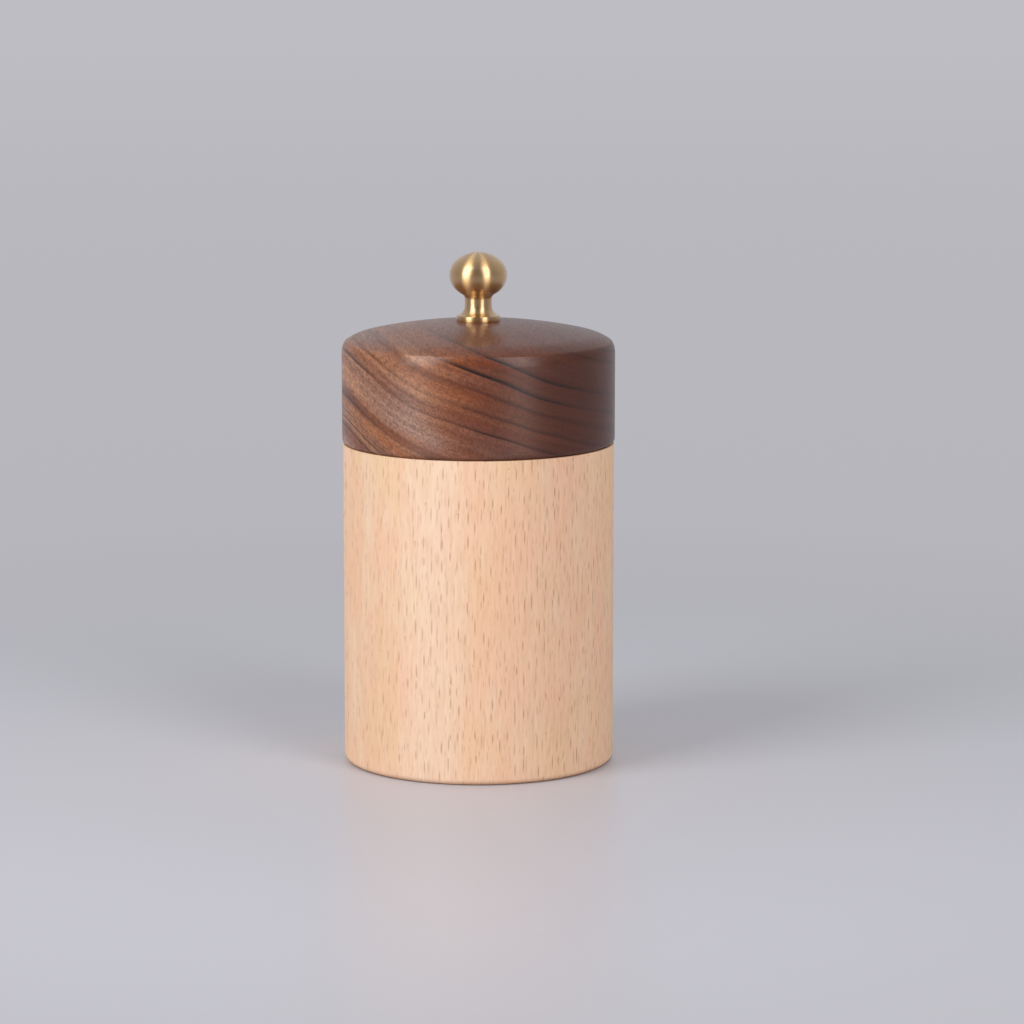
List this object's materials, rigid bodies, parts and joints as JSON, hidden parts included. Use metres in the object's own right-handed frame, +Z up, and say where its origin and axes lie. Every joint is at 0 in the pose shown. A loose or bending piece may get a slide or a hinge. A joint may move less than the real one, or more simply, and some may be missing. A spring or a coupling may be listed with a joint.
{
  "type": "toothpick dispenser",
  "caption": "Turned wooden jar for toothpicks, with a domed lift-off lid and a small metal knob.",
  "frame": {"origin": "centre of the jar's flat foot, on the surface it stands on", "axes": "+Z up along the turning axis; the jar is round, and +Y points away from the picture's camera"},
  "size_m": [0.0624, 0.0624, 0.1172],
  "materials": {
    "beech": "fine-sanded, clear matt oil",
    "walnut": "fine-sanded, satin oil",
    "brass": "lathe-turned, satin",
    "plated_steel": "zinc-plated"
  },
  "bodies": {
    "jar": {"jar_body": "beech"},
    "lid": {"lid": "walnut", "knob": "brass", "knob_screw": "plated_steel", "knob_washer": "plated_steel"}
  },
  "joints": [
    {"name": "lid_lift", "type": "slide", "parent": "jar", "child": "lid", "axis": [0, 0, 1], "range_m": [0, 0.05]}
  ]
}
